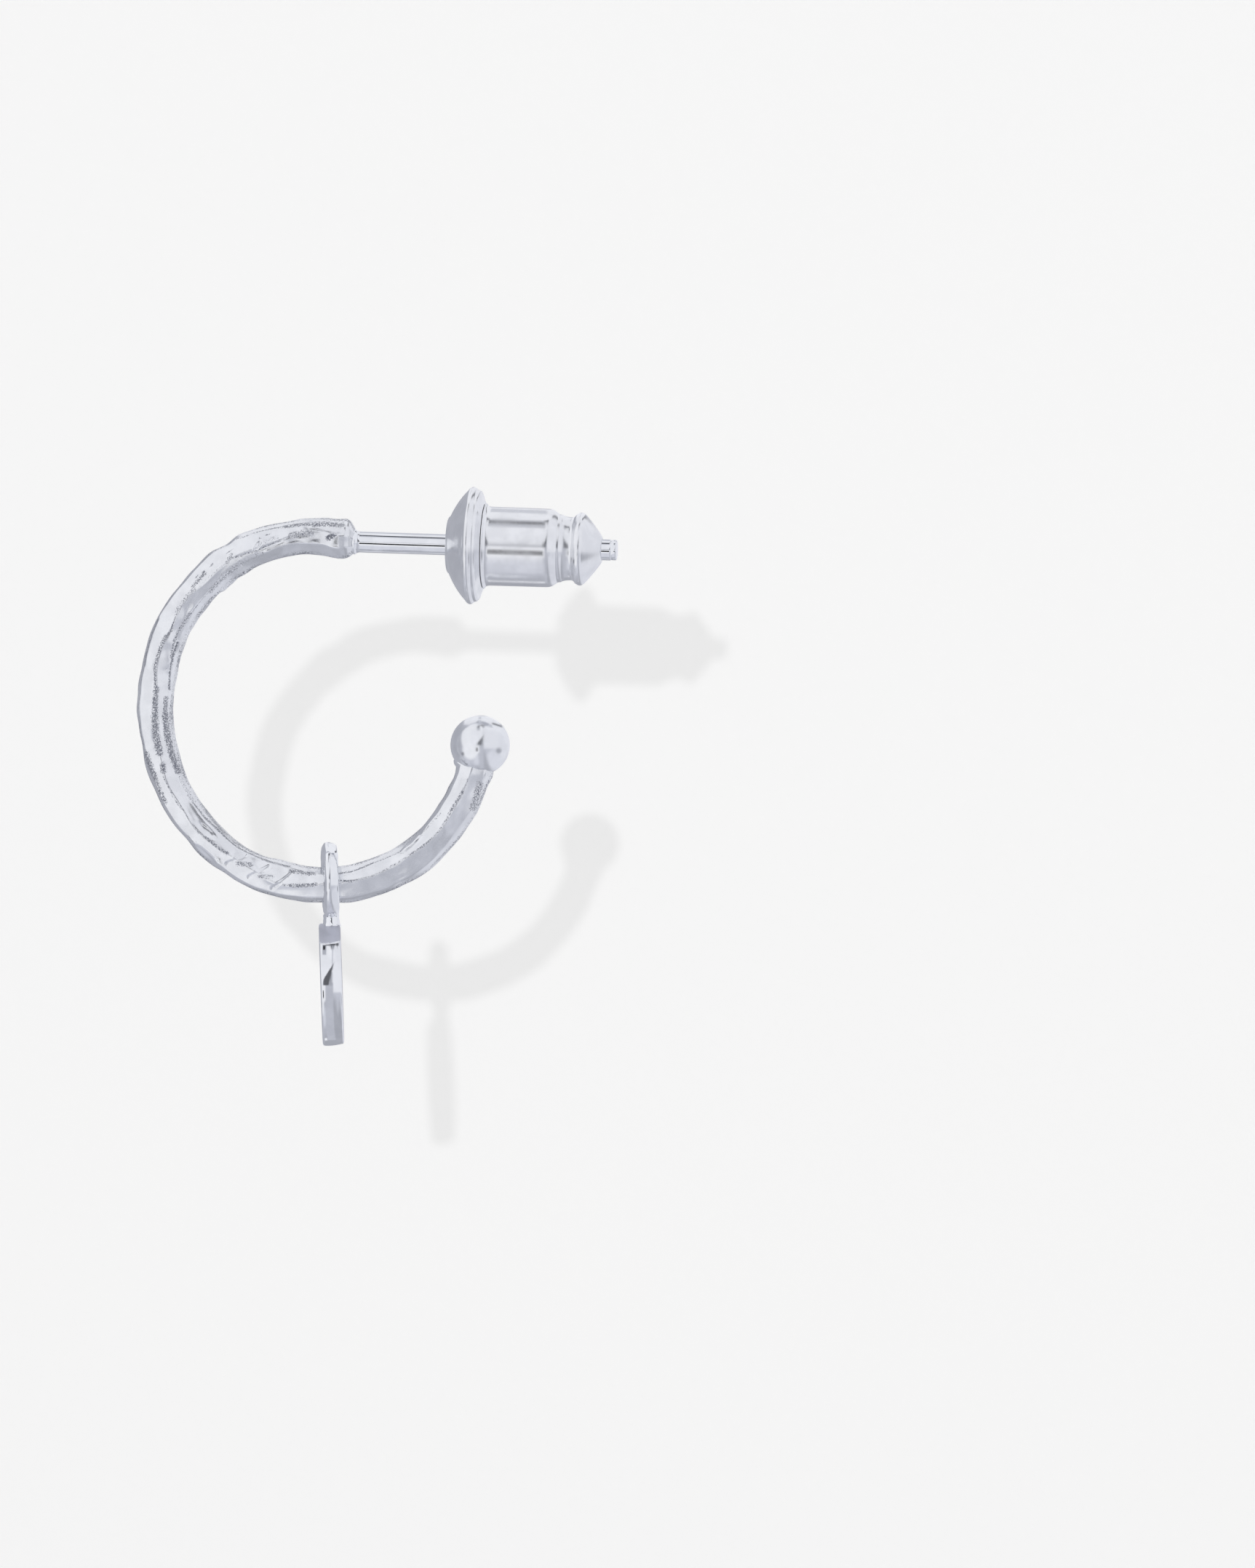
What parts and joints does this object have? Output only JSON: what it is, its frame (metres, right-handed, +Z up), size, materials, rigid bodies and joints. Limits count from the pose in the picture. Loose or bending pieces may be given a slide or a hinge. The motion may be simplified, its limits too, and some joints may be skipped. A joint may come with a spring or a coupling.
{
  "type": "hoop charm earring",
  "caption": "Silver hammered open hoop earring with a ball end, a coin disc charm on a bail ring, a straight ear post and a barrel clutch with a comfort disc.",
  "frame": {"origin": "on the ear post's axis, in the middle of the bare stretch between the hoop's solder block and the clutch, where the post goes through the ear", "axes": "+X along the ear post towards its tip, +Z up, +Y towards the back of the hoop's plane"},
  "size_m": [0.0207, 0.0054, 0.0244],
  "materials": {
    "hammered_silver": "hand-hammered sterling silver, bright on the flats, pitted and grainy along the ridges",
    "polished_silver": "mirror-polished sterling silver",
    "clutch_metal": "machine-polished rhodium-plated metal"
  },
  "bodies": {
    "hoop_body": {"hoop": "hammered_silver"},
    "charm_body": {"charm": "polished_silver"},
    "clutch_body": {"clutch_disc": "clutch_metal", "clutch_barrel": "clutch_metal"}
  },
  "joints": [
    {"name": "charm_swing", "type": "hinge", "parent": "hoop_body", "child": "charm_body", "pos_m": [-0.00263, 0, -0.01473], "axis": [0.9985, 0, 0.0541], "continuous": true},
    {"name": "clutch_slide", "type": "slide", "parent": "hoop_body", "child": "clutch_body", "axis": [1, 0, 0], "range_m": [-0.0038, 0.008]}
  ]
}
